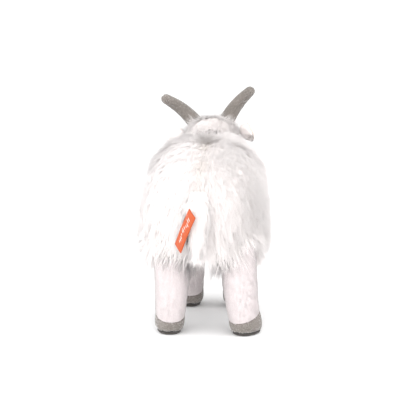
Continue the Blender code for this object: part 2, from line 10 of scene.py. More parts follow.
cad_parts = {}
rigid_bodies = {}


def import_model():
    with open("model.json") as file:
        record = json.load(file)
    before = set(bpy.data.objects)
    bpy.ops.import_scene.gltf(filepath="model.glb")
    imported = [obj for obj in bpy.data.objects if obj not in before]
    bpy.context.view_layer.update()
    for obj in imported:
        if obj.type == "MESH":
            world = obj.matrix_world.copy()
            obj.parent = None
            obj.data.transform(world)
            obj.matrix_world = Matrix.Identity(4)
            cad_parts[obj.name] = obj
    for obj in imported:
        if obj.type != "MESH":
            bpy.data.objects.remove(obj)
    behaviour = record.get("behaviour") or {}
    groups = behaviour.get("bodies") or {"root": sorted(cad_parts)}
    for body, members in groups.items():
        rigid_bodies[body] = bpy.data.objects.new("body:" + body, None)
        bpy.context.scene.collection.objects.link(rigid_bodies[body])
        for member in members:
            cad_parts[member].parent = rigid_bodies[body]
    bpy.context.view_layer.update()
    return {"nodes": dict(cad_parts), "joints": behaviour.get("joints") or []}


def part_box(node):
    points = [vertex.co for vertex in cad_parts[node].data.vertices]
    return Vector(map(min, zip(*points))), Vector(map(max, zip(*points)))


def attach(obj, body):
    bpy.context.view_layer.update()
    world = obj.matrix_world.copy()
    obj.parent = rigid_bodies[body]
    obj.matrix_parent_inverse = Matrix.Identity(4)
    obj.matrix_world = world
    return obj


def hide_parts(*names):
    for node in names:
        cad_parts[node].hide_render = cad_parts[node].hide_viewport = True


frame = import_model()
nodes = frame["nodes"]
legNames = ("hind_left", "hind_right", "front_left", "front_right")
sides = {"left": 1, "right": -1}    # the goat faces -Y, so its left is +X


# Small helpers for arrays of points

def unit(vectors):
    lengths = np.linalg.norm(vectors, axis=-1, keepdims=True)
    return vectors / np.maximum(lengths, 1e-9)


def mixed(one, two, share):
    share = np.asarray(share)[..., None]
    return one * (1 - share) + two * share


def ramp(values, low, high):
    # 0 up to low, 1 from high on, and a soft step between
    share = np.clip((values - low) / (high - low), 0, 1)
    return share * share * (3 - 2 * share)


def pointsOf(mesh):
    points = np.empty(len(mesh.vertices) * 3, np.float32)
    mesh.vertices.foreach_get("co", points)
    return points.reshape(-1, 3).astype(np.float64)


def normalsOf(mesh):
    normals = np.empty(len(mesh.vertices) * 3, np.float32)
    mesh.vertex_normals.foreach_get("vector", normals)
    return normals.reshape(-1, 3).astype(np.float64)


def setPoints(mesh, points):
    mesh.vertices.foreach_set("co", np.ascontiguousarray(points, np.float32).ravel())
    mesh.update()


def trianglesOf(mesh):
    mesh.calc_loop_triangles()
    corners = np.empty(len(mesh.loop_triangles) * 3, np.int32)
    mesh.loop_triangles.foreach_get("vertices", corners)
    return corners.reshape(-1, 3)


def treeOf(mesh):
    return BVHTree.FromPolygons([vertex.co for vertex in mesh.vertices], trianglesOf(mesh).tolist())


def farthestFrom(piece, place):
    points = pointsOf(piece.data)
    return points[np.argmax(np.linalg.norm(points - place, axis=1))]


def jointAt(name):
    return next(joint for joint in frame["joints"] if joint["name"] == name)


# Making, cutting and puffing the sewn skins

def addPiece(name, shape, smooth=True):
    mesh = bpy.data.meshes.new(name)
    shape.to_mesh(mesh)
    shape.free()
    piece = bpy.data.objects.new(name, mesh)
    bpy.context.collection.objects.link(piece)
    if smooth:
        mesh.shade_smooth()
    return piece


def joinNodes(name, nodeNames):
    joined = bmesh.new()
    for node in nodeNames:
        joined.from_mesh(nodes[node].data)
    bmesh.ops.remove_doubles(joined, verts=joined.verts, dist=1e-5)
    return addPiece(name, joined)


def applyModifiers(piece):
    graph = bpy.context.evaluated_depsgraph_get()
    shape = bpy.data.meshes.new_from_object(piece.evaluated_get(graph))
    piece.modifiers.clear()
    piece.data = shape
    shape.shade_smooth()
    return piece


def remeshed(piece, voxel):
    remesher = piece.modifiers.new("remesh", "REMESH")
    remesher.mode = "VOXEL"
    remesher.voxel_size = voxel
    return applyModifiers(piece)


def relaxed(piece, steps, factor=0.5):
    smoother = piece.modifiers.new("relax", "SMOOTH")
    smoother.iterations = steps
    smoother.factor = factor
    return applyModifiers(piece)


def rounder(piece, levels=1):
    divider = piece.modifiers.new("divide", "SUBSURF")
    divider.levels = levels
    divider.render_levels = levels
    return applyModifiers(piece)


def shrunk(piece, amount):
    points = pointsOf(piece.data) - normalsOf(piece.data) * amount
    setPoints(piece.data, points)
    return piece


def heldPoints(piece, panels, reach):
    # How near each point is to a seam between two panels: 1 on it, 0 from reach on
    trees = [treeOf(nodes[panel].data) for panel in panels]
    gaps = []
    for vertex in piece.data.vertices:
        found = sorted(tree.find_nearest(vertex.co)[3] for tree in trees)
        gaps.append(found[1] - found[0])
    return np.exp(-(np.array(gaps) / reach) ** 2)


puffed = []


def puff(piece, panels, pressure, most, seam=0.004):
    # The seams are held while the stuffing presses the fabric out between them
    held = heldPoints(piece, panels, seam) if len(panels) > 1 else np.zeros(len(piece.data.vertices))
    group = piece.vertex_groups.new(name="held")
    for index, weight in enumerate(held):
        group.add([index], float(weight), "REPLACE")
    cloth = piece.modifiers.new("puff", "CLOTH")
    cloth.settings.quality = 4
    cloth.settings.mass = 0.01
    cloth.settings.tension_stiffness = 3
    cloth.settings.compression_stiffness = 3
    cloth.settings.shear_stiffness = 1
    cloth.settings.bending_stiffness = 0.05
    cloth.settings.use_pressure = True
    cloth.settings.uniform_pressure_force = pressure
    cloth.settings.effector_weights.gravity = 0
    cloth.settings.vertex_group_mass = "held"
    cloth.collision_settings.use_collision = False
    puffed.append((piece, most))
    return piece


def runPuffing():
    scene = bpy.context.scene
    for step in range(1, 21):
        scene.frame_set(step)
    graph = bpy.context.evaluated_depsgraph_get()
    for piece, most in puffed:
        before = pointsOf(piece.data)
        moved = pointsOf(piece.evaluated_get(graph).data) - before
        far = np.linalg.norm(moved, axis=1, keepdims=True)
        moved *= np.minimum(1, most / np.maximum(far, 1e-9))
        piece.modifiers.clear()
        setPoints(piece.data, before + moved)
        print(f"puffed {piece.name} by {far.mean() * 1000:.2f} mm", flush=True)
    scene.frame_set(1)


def pressSeams(piece, panels, depth, width):
    # A sewn seam pulls the fabric in
    share = heldPoints(piece, panels, width)
    points = pointsOf(piece.data) - normalsOf(piece.data) * (depth * share)[:, None]
    setPoints(piece.data, points)
    return piece


def cutPiece(name, source, planes, gap=0.0002):
    # The part of source under every plane, closed where it is cut
    shape = bmesh.new()
    shape.from_mesh(source.data)
    for place, out in planes:
        out = Vector(out).normalized()
        bmesh.ops.bisect_plane(
            shape,
            geom=shape.verts[:] + shape.edges[:] + shape.faces[:],
            plane_co=Vector(place) - out * gap,
            plane_no=out,
            clear_outer=True,
        )
        rims = [edge for edge in shape.edges if edge.is_boundary]
        bmesh.ops.holes_fill(shape, edges=rims, sides=0)
    bmesh.ops.recalc_face_normals(shape, faces=shape.faces)
    return addPiece(name, shape)


# Growing pile: every fibre is a closed, tapered strand

def shadeFrom(out, rings, roots):
    # Fibres lie so close together that the light falls on them as on the cloth under them,
    # and round the neckline as on the back beside it
    level = np.column_stack([out[:, 0], out[:, 1], np.maximum(out[:, 2], -0.1)])
    sideways = unit(np.column_stack([roots[:, 0], roots[:, 1] + 0.03, np.zeros(len(roots))]))
    level = mixed(level, sideways, ramp(-out[:, 2], 0.3, 0.8))
    neckline = ramp(roots[:, 2], 0.150, 0.168) * ramp(roots[:, 1], -0.140, -0.115)
    level[:, 1] += (np.maximum(out[:, 1], 0.15) - out[:, 1]) * neckline
    return unit(unit(level) + 0.15 * unit(rings[-1] - roots))


def growPile(name, base, pile, comb, seed, keep=None, warm=None):
    draw = np.random.default_rng(seed)
    corners = trianglesOf(base.data)
    places, normals = pointsOf(base.data), normalsOf(base.data)
    across = np.cross(
        places[corners[:, 1]] - places[corners[:, 0]], places[corners[:, 2]] - places[corners[:, 0]]
    )
    area = np.linalg.norm(across, axis=1) / 2
    if keep is not None:
        area = area * keep(places[corners].mean(axis=1), unit(across))
    count = int(area.sum() * 1e4 * pile["density"])    # density is in fibres per square centimetre
    chosen = draw.choice(len(corners), count, p=area / area.sum())
    share = draw.random((count, 2))
    share = np.where(share.sum(axis=1, keepdims=True) > 1, 1 - share, share)
    weights = np.column_stack([1 - share.sum(axis=1), share])[..., None]
    roots = (places[corners[chosen]] * weights).sum(axis=1)
    out = unit((normals[corners[chosen]] * weights).sum(axis=1))

    # Neighbouring fibres gather into locks
    lockCount = max(1, count // pile["perLock"])
    middles = roots[draw.permutation(count)[:lockCount]]
    tree = KDTree(lockCount)
    for index, middle in enumerate(middles):
        tree.insert(middle, index)
    tree.balance()
    lock = np.array([tree.find(root)[1] for root in roots])

    way, length, lift, droop = comb(roots, out)
    along = unit(way - out * (way * out).sum(axis=1, keepdims=True))
    beside = np.cross(out, along)
    turn = draw.normal(0, pile["lockTurn"], lockCount)[lock] + draw.normal(0, pile["turn"], count)
    along = along * np.cos(turn)[:, None] + beside * np.sin(turn)[:, None]
    beside = np.cross(out, along)
    lift = lift + draw.normal(0, pile["lockLift"], lockCount)[lock]
    lift = lift + draw.normal(0, pile["liftSpread"], count)
    length = length * np.clip(1 + draw.normal(0, pile["lockLength"], lockCount)[lock], 0.6, 1.5)
    length = length * draw.uniform(1 - pile["uneven"], 1, count)
    start = along * np.cos(lift)[:, None] + out * np.sin(lift)[:, None]
    end = unit(mixed(along, np.array([0, 0, -1.0]), droop))
    phase = draw.uniform(0, 2 * math.pi, lockCount)[lock] + draw.normal(0, 0.5, count)

    turns = np.arange(3) * 2 * math.pi / 3
    thick = pile["thick"] * draw.uniform(0.8, 1.2, count)
    heights = pile["rings"]
    rings = []
    toMiddle = middles[lock] - roots
    for height in list(heights) + [1]:
        bend = (start * height + (end - start) * height**2 / 2) * length[:, None]
        gather = toMiddle * (pile["gather"] * height**1.4)
        swing = np.sin(phase + height * pile["waves"] * 2 * math.pi)
        wave = beside * (swing * pile["wave"] * height)[:, None]
        ring = roots - out * pile["sunk"] + bend + gather + wave
        past = np.maximum(np.abs(ring[:, 0]) - pile["spread"], 0)
        softened = pile["spreadRoom"] * np.tanh(past / pile["spreadRoom"])
        ring[:, 0] -= np.sign(ring[:, 0]) * (past - softened)    # the ends lie down before they get too wide
        rings.append(ring)
    strand = np.empty((count, 3 * len(heights) + 1, 3))
    for index, height in enumerate(heights):
        forward = unit(rings[index + 1] - rings[index])
        up = unit(np.cross(forward, beside))
        radius = thick / 2 * (1 - pile["taper"] * height)
        for corner, angle in enumerate(turns):
            offset = (beside * math.cos(angle) + up * math.sin(angle)) * radius[:, None]
            strand[:, index * 3 + corner] = rings[index] + offset
    strand[:, -1] = rings[-1]

    faces = [(0, 2, 1)]
    for index in range(len(heights) - 1):
        for corner in range(3):
            one, two = index * 3 + corner, index * 3 + (corner + 1) % 3
            faces += [(one, two, two + 3), (one, two + 3, one + 3)]
    last, tip = (len(heights) - 1) * 3, len(heights) * 3
    faces += [(last + corner, last + (corner + 1) % 3, tip) for corner in range(3)]
    size = strand.shape[1]
    allFaces = (np.array(faces)[None] + np.arange(count)[:, None, None] * size).reshape(-1, 3)

    mesh = bpy.data.meshes.new(name)
    mesh.vertices.add(count * size)
    mesh.vertices.foreach_set("co", strand.astype(np.float32).ravel())
    mesh.loops.add(allFaces.size)
    mesh.loops.foreach_set("vertex_index", allFaces.astype(np.int32).ravel())
    mesh.polygons.add(len(allFaces))
    mesh.polygons.foreach_set("loop_start", np.arange(0, allFaces.size, 3, dtype=np.int32))
    mesh.update(calc_edges=True)
    mesh.shade_smooth()
    mesh.normals_split_custom_set_from_vertices(np.repeat(shadeFrom(out, rings, roots), size, axis=0))
    heightOf = np.tile(np.append(np.repeat(heights, 3), 1), count)
    toneOf = draw.random(lockCount)[lock] * 0.6 + draw.random(count) * 0.4
    warmOf = np.zeros(count) if warm is None else warm(roots, out)
    for layerName, values in (
        ("height", heightOf),
        ("tone", np.repeat(toneOf, size)),
        ("warm", np.repeat(warmOf, size)),
    ):
        layer = mesh.attributes.new(layerName, "FLOAT", "POINT")
        layer.data.foreach_set("value", np.ascontiguousarray(values, np.float32))
    piece = bpy.data.objects.new(name, mesh)
    bpy.context.collection.objects.link(piece)
    print(f"grew {name}: {count} fibres, {len(allFaces)} faces", flush=True)
    return piece


# Materials

def newMaterial(name, roughness, specular=0.3, sheen=0.0, sheenRoughness=0.5):
    material = bpy.data.materials.new(name)
    material.use_nodes = True
    shader = material.node_tree.nodes["Principled BSDF"]
    shader.inputs["Roughness"].default_value = roughness
    shader.inputs["Specular IOR Level"].default_value = specular
    shader.inputs["Sheen Weight"].default_value = sheen
    shader.inputs["Sheen Roughness"].default_value = sheenRoughness
    return material, material.node_tree, shader


def addNode(tree, kind, settings=None, **inputs):
    node = tree.nodes.new(kind)
    for key, value in (settings or {}).items():
        setattr(node, key, value)
    for key, value in inputs.items():
        socket = node.inputs[key]
        if isinstance(value, bpy.types.NodeSocket):
            tree.links.new(value, socket)
        else:
            socket.default_value = value
    return node


def colourSteps(tree, value, steps):
    node = tree.nodes.new("ShaderNodeValToRGB")
    tree.links.new(value, node.inputs[0])
    stops = node.color_ramp.elements
    while len(stops) < len(steps):
        stops.new(0.5)
    for stop, (place, colour) in zip(stops, steps):
        stop.position = place
        stop.color = (*colour, 1)
    return node.outputs[0]


def mixColours(tree, share, one, two, blend="MIX"):
    node = tree.nodes.new("ShaderNodeMix")
    node.data_type = "RGBA"
    node.blend_type = blend
    for key, value in ((0, share), (6, one), (7, two)):
        if isinstance(value, bpy.types.NodeSocket):
            tree.links.new(value, node.inputs[key])
        else:
            node.inputs[key].default_value = value if key == 0 else (*value, 1)
    return node.outputs[2]


creamTone = (0.95, 0.86, 0.76)


def pileMaterial(name, finish):
    # Each fibre goes from its root colour to its tip colour, and locks differ a little in tone
    material, tree, shader = newMaterial(name, finish["roughness"], 0.25, finish["sheen"])
    height = addNode(tree, "ShaderNodeAttribute", {"attribute_name": "height"}).outputs["Fac"]
    tone = addNode(tree, "ShaderNodeAttribute", {"attribute_name": "tone"}).outputs["Fac"]
    grown = colourSteps(tree, height, ((0, finish["root"]), (0.35, finish["middle"]), (1, finish["tip"])))
    place = addNode(tree, "ShaderNodeTexCoord").outputs["Object"]
    patch = addNode(tree, "ShaderNodeTexNoise", Vector=place, Scale=finish["patchScale"], Detail=3.0)
    uneven = addNode(tree, "ShaderNodeMath", {"operation": "ADD"})
    tree.links.new(tone, uneven.inputs[0])
    tree.links.new(patch.outputs["Fac"], uneven.inputs[1])
    shades = colourSteps(tree, uneven.outputs[0], ((0.35, finish["shade"]), (1.25, (1, 1, 1))))
    colour = mixColours(tree, 1.0, grown, shades, "MULTIPLY")
    warm = addNode(tree, "ShaderNodeAttribute", {"attribute_name": "warm"}).outputs["Fac"]
    colour = mixColours(tree, warm, colour, creamTone)
    tree.links.new(colour, shader.inputs["Base Color"])
    return material


def fleeceMaterial(name, finish):
    # The knitted backing with its roots, seen between the fibres
    material, tree, shader = newMaterial(name, 0.95, 0.15, finish["sheen"])
    place = addNode(tree, "ShaderNodeTexCoord").outputs["Object"]
    patch = addNode(tree, "ShaderNodeTexNoise", Vector=place, Scale=finish["patchScale"], Detail=4.0)
    fine = addNode(tree, "ShaderNodeTexNoise", Vector=place, Scale=finish["fineScale"], Detail=6.0)
    base = colourSteps(tree, patch.outputs["Fac"], ((0.3, finish["dark"]), (0.7, finish["light"])))
    speckle = colourSteps(tree, fine.outputs["Fac"], ((0.3, finish["speckle"]), (0.65, (1, 1, 1))))
    tree.links.new(mixColours(tree, 1.0, base, speckle, "MULTIPLY"), shader.inputs["Base Color"])
    bump = addNode(
        tree, "ShaderNodeBump", Height=fine.outputs["Fac"], Strength=finish["bump"], Distance=0.0006
    )
    tree.links.new(bump.outputs[0], shader.inputs["Normal"])
    return material


def paint(piece, material):
    piece.data.materials.clear()
    piece.data.materials.append(material)
    return piece


longPile = {
    "root": (0.95, 0.885, 0.865),
    "middle": (0.965, 0.91, 0.895),
    "tip": (0.975, 0.93, 0.92),
    "shade": (0.93, 0.92, 0.915),
    "patchScale": 60.0,
    "roughness": 0.7,
    "sheen": 0.25,
}
# The legs' plush is really white; it is painted darker here, a painted shade that keeps the legs from
# glaring brighter than the coat under the strong lights
whitePlushPaintedShade = {
    "root": (0.60, 0.555, 0.555),
    "middle": (0.64, 0.595, 0.595),
    "tip": (0.68, 0.635, 0.635),
    "shade": (0.93, 0.92, 0.92),
    "patchScale": 90.0,
    "roughness": 0.8,
    "sheen": 0.15,
}
greyPlush = {
    "root": (0.15, 0.13, 0.115),
    "middle": (0.25, 0.225, 0.205),
    "tip": (0.52, 0.49, 0.46),
    "shade": (0.70, 0.69, 0.68),
    "patchScale": 160.0,
    "roughness": 0.8,
    "sheen": 1.0,
}
hoofPlush = dict(greyPlush, root=(0.20, 0.18, 0.165), middle=(0.33, 0.305, 0.285), tip=(0.60, 0.575, 0.55))
peachPile = dict(
    whitePlushPaintedShade, root=(0.86, 0.70, 0.60), middle=(0.92, 0.78, 0.69), tip=(0.95, 0.85, 0.78)
)
whiteBacking = {
    "light": (0.93, 0.88, 0.86),
    "dark": (0.90, 0.84, 0.82),
    "speckle": (0.95, 0.93, 0.92),
    "patchScale": 45.0,
    "fineScale": 900.0,
    "sheen": 0.2,
    "bump": 0.6,
}
greyBacking = dict(
    whiteBacking, light=(0.22, 0.195, 0.18), dark=(0.16, 0.145, 0.13), speckle=(0.75, 0.73, 0.72)
)
# The legs' backing is painted darker than its real white in the same way: painted shade
plushBackingPaintedShade = dict(whiteBacking, light=(0.62, 0.565, 0.57), dark=(0.57, 0.515, 0.52))
soleBacking = dict(greyBacking, light=(0.085, 0.076, 0.070), dark=(0.055, 0.049, 0.045))
peachBacking = dict(whiteBacking, light=(0.90, 0.75, 0.65), dark=(0.86, 0.69, 0.59))

pileLooks = {
    "long": pileMaterial("longPileFur", longPile),
    "white": pileMaterial("whitePlushPaintedShade", whitePlushPaintedShade),
    "grey": pileMaterial("greyPlush", greyPlush),
    "hoof": pileMaterial("hoofPlush", hoofPlush),
    "peach": pileMaterial("peachPile", peachPile),
}
backingLooks = {
    "white": fleeceMaterial("whiteBacking", whiteBacking),
    "grey": fleeceMaterial("greyBacking", greyBacking),
    "plush": fleeceMaterial("plushBackingPaintedShade", plushBackingPaintedShade),
    "sole": fleeceMaterial("soleBacking", soleBacking),
    "peach": fleeceMaterial("peachBacking", peachBacking),
}


def finished(piece, look, body):
    paint(piece, look)
    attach(piece, body)
    return piece


# The torso's sewn skin, before it is cut along its seams

torso = {
    "voxel": 0.004,
    "shrink": 0.0045,
    "pressure": 60.0,
    "most": 0.0035,
    "bellySeam": 0.101,
}
torsoSkin = joinNodes("torsoSkin", ["torso_stuffing", "torso_fur_left", "torso_fur_right", "belly_panel"])
remeshed(torsoSkin, torso["voxel"])
relaxed(torsoSkin, 2)
shrunk(torsoSkin, torso["shrink"])
puff(torsoSkin, ["torso_fur_left", "torso_fur_right", "belly_panel"], torso["pressure"], torso["most"])

# A skin each for the legs, neck, head, horns and tail

limbs = {}
for name in legNames:
    parts = [f"leg_{name}_{part}" for part in ("stuffing", "outer", "inner")]
    parts += [f"hoof_{name}_{part}" for part in ("outer", "inner")]
    limbs[f"leg_{name}"] = {"parts": parts, "panels": parts[1:], "voxel": 0.0022, "shrink": 0.0006}
limbs["neck"] = {
    "parts": ["neck_stuffing", "neck_fur_left", "neck_fur_right"],
    "panels": ["neck_fur_left", "neck_fur_right"],
    "voxel": 0.003,
    "shrink": 0.0005,
}
headPanels = ["head_crown_panel", "head_side_left", "head_side_right", "chin_panel"]
limbs["head"] = {
    "parts": ["head_stuffing"] + headPanels,
    "panels": headPanels,
    "voxel": 0.0025,
    "shrink": 0.0012,
}
for side in sides:
    parts = [f"horn_{side}_{part}" for part in ("stuffing", "front", "back")]
    limbs[f"horn_{side}"] = {"parts": parts, "panels": parts[1:], "voxel": 0.0014, "shrink": 0.0002}
limbs["tail"] = {"parts": ["tail_fur"], "panels": ["tail_fur"], "voxel": 0.0018, "shrink": 0.0010}

skins = {}
for name, limb in limbs.items():
    skin = joinNodes(f"{name}_skin", limb["parts"])
    remeshed(skin, limb["voxel"])
    relaxed(skin, 3)
    shrunk(skin, limb["shrink"])
    skins[name] = puff(skin, limb["panels"], 120.0, limb["shrink"] + 0.0006, 0.003)
print("skins cut", flush=True)
runPuffing()

pressSeams(torsoSkin, ["torso_fur_left", "torso_fur_right"], 0.0025, 0.004)
rounder(torsoSkin)
for name, limb in limbs.items():
    rounder(skins[name])
    if len(limb["panels"]) > 1:
        pressSeams(skins[name], limb["panels"], 0.0007, 0.0013)
print("seams pressed", flush=True)

middleUp = (0, 0, torso["bellySeam"])
torsoPieces = {
    "torsoSkinLeft": (
        [((0, 0, 0), (-1, 0, 0)), (middleUp, (0, 0, -1))],
        ["torso_fur_left", "torso_stuffing"],
    ),
    "torsoSkinRight": ([((0, 0, 0), (1, 0, 0)), (middleUp, (0, 0, -1))], ["torso_fur_right"]),
    "bellySkin": ([(middleUp, (0, 0, 1))], ["belly_panel"]),
}
for name, (planes, replaced) in torsoPieces.items():
    piece = cutPiece(name, torsoSkin, planes)
    finished(piece, backingLooks["white"], "torso")
    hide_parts(*replaced)

# The long coat on the torso

coat = {
    "density": 64,
    "perLock": 16,
    "thick": 0.00036,
    "taper": 0.6,
    "rings": (0, 0.4, 0.75),
    "sunk": 0.0006,
    "spread": 0.0690,
    "spreadRoom": 0.0150,
    "lockTurn": 0.22,
    "turn": 0.18,
    "lockLift": 0.08,
    "liftSpread": 0.14,
    "lockLength": 0.08,
    "uneven": 0.35,
    "gather": 0.16,
    "wave": 0.0009,
    "waves": 1.0,
    "topLength": 0.015,
    "ruffLength": 0.032,
    "flankLength": 0.021,
    "skirtLength": 0.048,
    "tailTopLength": 0.042,
    "cream": 0.40,
}
legSocket = {"reach": 0.045, "radius": 0.0225}
neckSocket = {"reach": 0.06, "radius": 0.0240}
sockets = []
for name in legNames:
    place = Vector(jointAt(f"leg_{name}_swing")["pos_m"])
    sockets.append((place, Vector((0, 0, -1)), legSocket))
neckPlace = Vector(jointAt("neck_turn")["pos_m"])
headPlace = Vector(jointAt("head_nod")["pos_m"])
sockets.append((neckPlace, (headPlace - neckPlace).normalized(), neckSocket))


def outsideSockets(roots, out):
    kept = np.ones(len(roots), bool)
    for place, way, room in sockets:
        way = np.array(way)
        offset = roots - np.array(place)
        along = np.clip(offset @ way, 0, room["reach"])
        kept &= np.linalg.norm(offset - along[:, None] * way, axis=1) > room["radius"]
    return kept


def evenly(roots, way, pile):
    # The same comb everywhere on a piece
    count = len(roots)
    lengths, lifts = np.full(count, pile["length"]), np.full(count, pile["lift"])
    return np.tile(way, (count, 1)), lengths, lifts, np.full(count, pile["droop"])


tailRoot = np.array(jointAt("tail_lift")["pos_m"])


def overTail(roots):
    # Near 1 just above the tail, where the hair hangs straight down over its root
    offset = (roots - tailRoot - np.array((0, 0, 0.012))) / np.array((0.017, 0.05, 0.016))
    return np.exp(-(offset**2).sum(axis=1))


def combCoat(roots, out):
    # Back and down from the spine, then out over the flanks and down in the skirt
    x, y, z = roots.T
    side = np.tanh(x / 0.012) * (1 - 0.9 * overTail(roots))
    top = ramp(out[:, 2], 0.25, 0.85)
    low = ramp(-z, -0.135, -0.098)
    under = ramp(-out[:, 2], 0.6, 0.9)
    ruff = ramp(-y, -0.03, 0.02) * ramp(z, 0.150, 0.185)
    away = side * (0.30 + 0.40 * top)
    way = np.column_stack([away, 0.25 + 0.65 * top, -1 + 0.6 * top])
    length = coat["flankLength"] + (coat["topLength"] - coat["flankLength"]) * top
    length = length + (coat["skirtLength"] - length) * low * (1 - 0.5 * under)
    length = length + (coat["ruffLength"] - length) * ruff
    length = length + (coat["tailTopLength"] - length) * overTail(roots)
    lift = 0.62 - 0.08 * top + 0.05 * low + 0.25 * ruff - 0.5 * under + 0.3 * overTail(roots)
    droop = 0.22 + 0.04 * low - 0.12 * ruff + 0.5 * overTail(roots)
    return way, length, lift, droop


def warmSpine(roots, out):
    # The seam along the spine shows faintly cream between the parted pile
    near = np.exp(-((roots[:, 0] / 0.006) ** 2)) * ramp(out[:, 2], 0.1, 0.5)
    return coat["cream"] * near * (0.4 + 0.6 * ramp(np.sin(roots[:, 1] * 95), -0.3, 0.6))


# Where each part starts and ends along the back
coatParts = {"Rump": (0.075, 1.0), "Flank": (0.0, 0.075), "Shoulder": (-1.0, 0.0)}
coatSeed = 10
for sideName, isLeft in (("Left", True), ("Right", False)):
    for partName, (front, rear) in coatParts.items():

        def onPart(roots, out, isLeft=isLeft, front=front, rear=rear):
            onSide = (roots[:, 0] > 0) == isLeft
            along = (roots[:, 1] > front) & (roots[:, 1] <= rear)
            return onSide & along & outsideSockets(roots, out)

        piece = growPile(f"coat{sideName}{partName}", torsoSkin, coat, combCoat, coatSeed, onPart, warmSpine)
        finished(piece, pileLooks["long"], "torso")
        coatSeed += 1
bpy.data.objects.remove(torsoSkin)

# Legs and hooves: short plush, cut at a slanting hoof line

leg = {
    "hoofLine": 0.0210,
    "tilt": math.radians(18),
    "toeOut": {"hind_left": 14, "hind_right": 36, "front_left": 6, "front_right": 6},
    "floor": 0.0029,
    "socket": 0.094,
    "flatEnd": 0.97,
    "flatSole": 0.93,
    "soleRoom": 0.0006,
}
legPile = {
    "density": 85,
    "perLock": 6,
    "thick": 0.00040,
    "taper": 0.5,
    "rings": (0, 0.55),
    "sunk": 0.0004,
    "spread": 0.0690,
    "spreadRoom": 0.0150,
    "lockTurn": 0.2,
    "turn": 0.3,
    "lockLift": 0.06,
    "liftSpread": 0.12,
    "lockLength": 0.05,
    "uneven": 0.3,
    "gather": 0.08,
    "wave": 0.0002,
    "waves": 0.7,
    "length": 0.0034,
    "lift": 0.55,
    "droop": 0.2,
}
hoofPile = dict(legPile, density=130, thick=0.0003, length=0.0022, lift=0.6)


def combLeg(roots, out):
    return evenly(roots, (0.0, 0.15, -1.0), legPile)


def combHoof(roots, out):
    return evenly(roots, (0.0, 0.15, -1.0), hoofPile)


for index, name in enumerate(legNames):
    body = f"leg_{name}"
    skin = skins[body]
    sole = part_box(f"hoof_{name}_sole")
    foot = (sole[0] + sole[1]) / 2
    outward = sides[name.split("_")[1]]
    turn = Matrix.Rotation(outward * math.radians(leg["toeOut"][name]), 3, "Z")
    hoofUp = turn @ Vector((0, math.sin(leg["tilt"]), math.cos(leg["tilt"])))
    line = Vector((foot.x, foot.y, leg["hoofLine"]))
    legSkin = cutPiece(f"legSkin_{name}", skin, [(line, -hoofUp)])
    hoofSkin = cutPiece(f"hoofSkin_{name}", skin, [(line, hoofUp), ((0, 0, leg["floor"]), (0, 0, -1))])
    # The leg skin and its pile take the leg colours with painted shade, darker than the real white cloth
    finished(legSkin, backingLooks["plush"], body)
    finished(hoofSkin, backingLooks["grey"], body)
    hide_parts(*[f"leg_{name}_{part}" for part in ("stuffing", "outer", "inner")])
    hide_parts(*[f"hoof_{name}_{part}" for part in ("outer", "inner")])

    def onSide(roots, out, hoofUp=hoofUp):
        return (np.abs(out @ np.array(hoofUp)) < leg["flatEnd"]) & (roots[:, 2] < leg["socket"])

    def onWall(roots, out):
        return (np.abs(out[:, 2]) < leg["flatSole"]) & (roots[:, 2] > leg["floor"] + leg["soleRoom"])

    pile = growPile(f"legPile_{name}", legSkin, legPile, combLeg, 30 + index, onSide)
    finished(pile, pileLooks["white"], body)
    pile = growPile(f"hoofPile_{name}", hoofSkin, hoofPile, combHoof, 40 + index, onWall)
    finished(pile, pileLooks["hoof"], body)
    solePiece = joinNodes(f"solePiece_{name}", [f"hoof_{name}_sole"])
    finished(rounder(remeshed(solePiece, 0.0009), 1), backingLooks["sole"], body)
    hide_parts(f"hoof_{name}_sole")
    bpy.data.objects.remove(skin)

# Neck and head

neckPile = dict(coat, density=70, length=0.026, lift=0.85, droop=0.25)
headPile = dict(
    coat,
    density=85,
    perLock=14,
    thick=0.00034,
    rings=(0, 0.45),
    wave=0.0004,
    gather=0.15,
    faceLength=0.0035,
    napeMore=0.0175,
    hornLength=0.0150,
    hornReach=0.017,
    lift=0.55,
    droop=0.2,
    eyeRoom=0.0068,
    noseRoom=0.0005,
)


def combNeck(roots, out):
    return evenly(roots, (0.0, 0.5, -1.0), neckPile)


hornRoots = []
for side in sides:
    hornPlace = np.array(jointAt(f"horn_{side}_bend")["pos_m"])
    hornTip = farthestFrom(skins[f"horn_{side}"], hornPlace)
    hornRoots.append((hornPlace, unit(hornTip - hornPlace)))


def combHead(roots, out):
    # Back from the nose, longer on the crown, the nape and the cheeks
    ahead = headPlace.y - roots[:, 1]
    way = np.tile((0.0, 1.0, -0.35), (len(roots), 1))
    way[:, 0] = np.tanh(roots[:, 0] / 0.01) * 0.2
    length = headPile["faceLength"] + headPile["napeMore"] * ramp(-ahead, -0.050, -0.005)
    lift = np.full(len(roots), headPile["lift"])
    droop = np.full(len(roots), headPile["droop"])
    for place, hornWay in hornRoots:
        # Round a horn the hair stands up along it and covers its sewn base
        near = np.exp(-((np.linalg.norm(roots - place, axis=1) / headPile["hornReach"]) ** 2) * 1.2)
        way = mixed(way, hornWay, np.clip(near * 1.6, 0, 1))
        length = length + (headPile["hornLength"] - length) * near
        lift = lift + 0.35 * near
        droop = droop * (1 - near)
    return way, length, lift, droop


def clearOfFace(roots, out):
    kept = np.ones(len(roots), bool)
    for side in sides:
        low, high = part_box(f"eye_{side}")
        kept &= np.linalg.norm(roots - np.array((low + high) / 2), axis=1) > headPile["eyeRoom"]
    low, high = (np.array(corner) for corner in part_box("nose_patch"))
    kept &= ~((roots > low - headPile["noseRoom"]) & (roots < high + headPile["noseRoom"])).all(axis=1)
    return kept


for name, pileValues, comb, keep, seed in (
    ("neck", neckPile, combNeck, None, 50),
    ("head", headPile, combHead, clearOfFace, 51),
):
    skin = skins[name]
    finished(skin, backingLooks["white"], name)
    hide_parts(*limbs[name]["parts"])
    pile = growPile(f"{name}Pile", skin, pileValues, comb, seed, keep)
    finished(pile, pileLooks["long"], name)

# Horns

